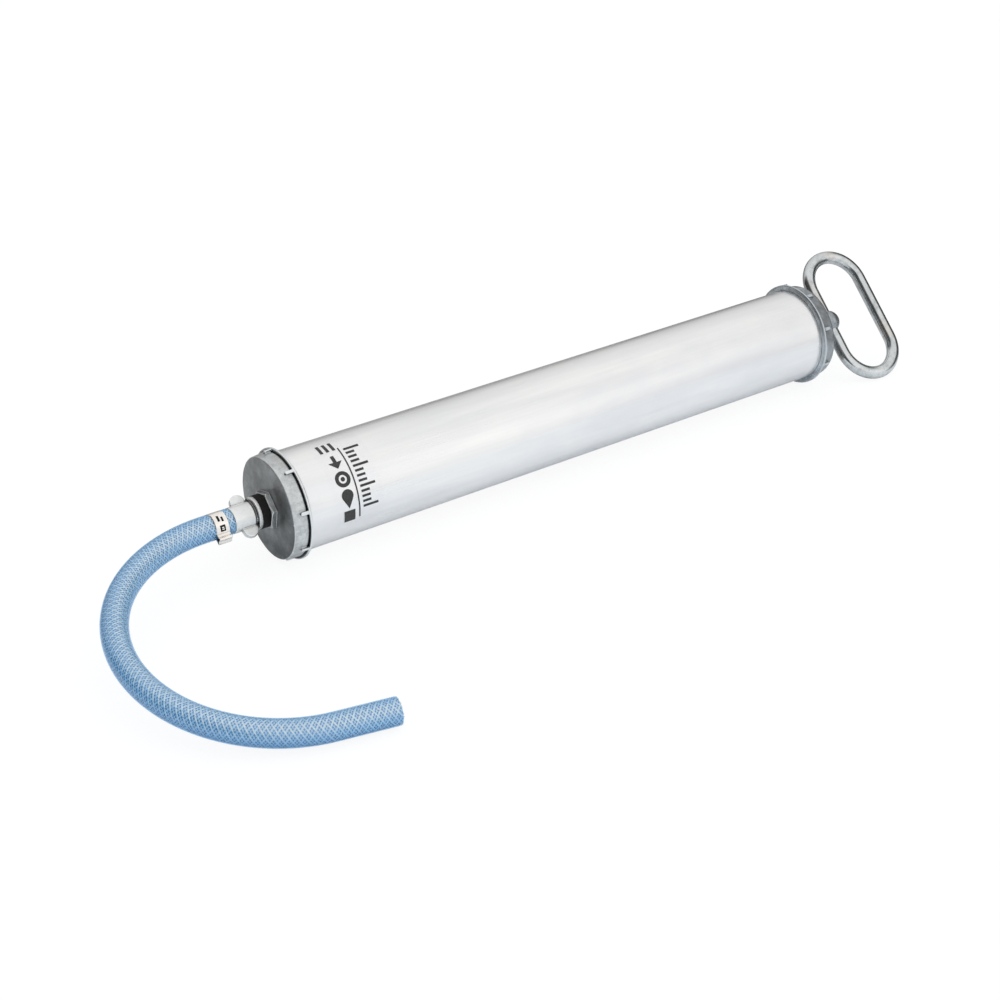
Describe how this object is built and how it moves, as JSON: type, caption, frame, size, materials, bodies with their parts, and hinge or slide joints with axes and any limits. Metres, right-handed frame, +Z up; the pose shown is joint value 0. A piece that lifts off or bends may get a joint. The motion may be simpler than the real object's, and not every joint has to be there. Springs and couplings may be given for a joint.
{
  "type": "hand-operated gear oil pump",
  "caption": "Hand suction and filling gun for gear oil: an aluminium barrel with die-cast caps, a sliding piston with a loop handle, and a braided hose on a wing connector.",
  "frame": {"origin": "on the barrel's axis, half way between the faces of the two end caps", "axes": "+X along the barrel towards the handle, the way the rod is pulled out; +Z up with the pump lying on a bench; the hose curls to the -Y side"},
  "size_m": [0.714, 0.2557, 0.0792],
  "materials": {
    "tube_aluminium": "drawn aluminium tube, satin with fine lengthwise draw lines",
    "cast_zinc": "raw die-cast zinc, mottled grey, slightly grainy",
    "bright_zinc": "tumbled die-cast zinc, light satin grey",
    "seal_rubber": "black nitrile rubber, matte",
    "cup_rubber": "moulded black nitrile cup, semi-matte",
    "gasket_fibre": "pressed grey gasket sheet, matte",
    "label_film": null,
    "bush_bronze": "sintered bronze, matte",
    "spring_steel": "phosphated spring steel, dark",
    "rod_chrome": "ground and hard-chromed steel rod",
    "handle_steel": "bright zinc-plated round bar",
    "plated_steel": "bright zinc-plated turned steel",
    "spacer_aluminium": "turned aluminium",
    "hose_pvc": "clear blue PVC with a white braided yarn layer",
    "clamp_stainless": "bright stainless strip"
  },
  "bodies": {
    "barrel": {"barrel_tube": "tube_aluminium", "front_cap": "cast_zinc", "front_cap_gasket": "gasket_fibre", "rear_cap": "cast_zinc", "rear_cap_gasket": "gasket_fibre", "barrel_label": "label_film"},
    "rod_guide": {"rod_guide_bush": "bush_bronze", "bush_circlip": "spring_steel", "rod_wiper": "seal_rubber"},
    "rod": {"piston_rod": "rod_chrome", "rod_head": "cast_zinc", "rod_head_pin": "spring_steel", "handle_loop": "handle_steel", "piston_rear_washer": "plated_steel", "rear_cup": "cup_rubber", "piston_spacer": "spacer_aluminium", "front_cup": "cup_rubber", "piston_front_washer": "plated_steel", "lock_washer": "spring_steel", "piston_nut": "plated_steel"},
    "connector_seal": {"connector_gasket": "seal_rubber"},
    "hose_unit": {"wing_connector": "bright_zinc", "hose": "hose_pvc", "ear_clamp": "clamp_stainless"}
  },
  "joints": [
    {"name": "handle_turn", "type": "hinge", "parent": "barrel", "child": "rod_guide", "pos_m": [0.238, 0, 0], "axis": [1, 0, 0], "continuous": true},
    {"name": "piston_stroke", "type": "slide", "parent": "rod_guide", "child": "rod", "axis": [1, 0, 0], "range_m": [0, 0.42]},
    {"name": "connector_travel", "type": "slide", "parent": "barrel", "child": "connector_seal", "axis": [-1, 0, 0], "range_m": [0, 0.00937]},
    {"name": "connector_unscrew", "type": "hinge", "parent": "connector_seal", "child": "hose_unit", "pos_m": [-0.242, 0, 0], "axis": [-1, 0, 0], "range_deg": [0, 2520]}
  ],
  "couplings": [
    {"joint": "connector_travel", "follows": "connector_unscrew", "m_per_rad": 0.00021276}
  ]
}
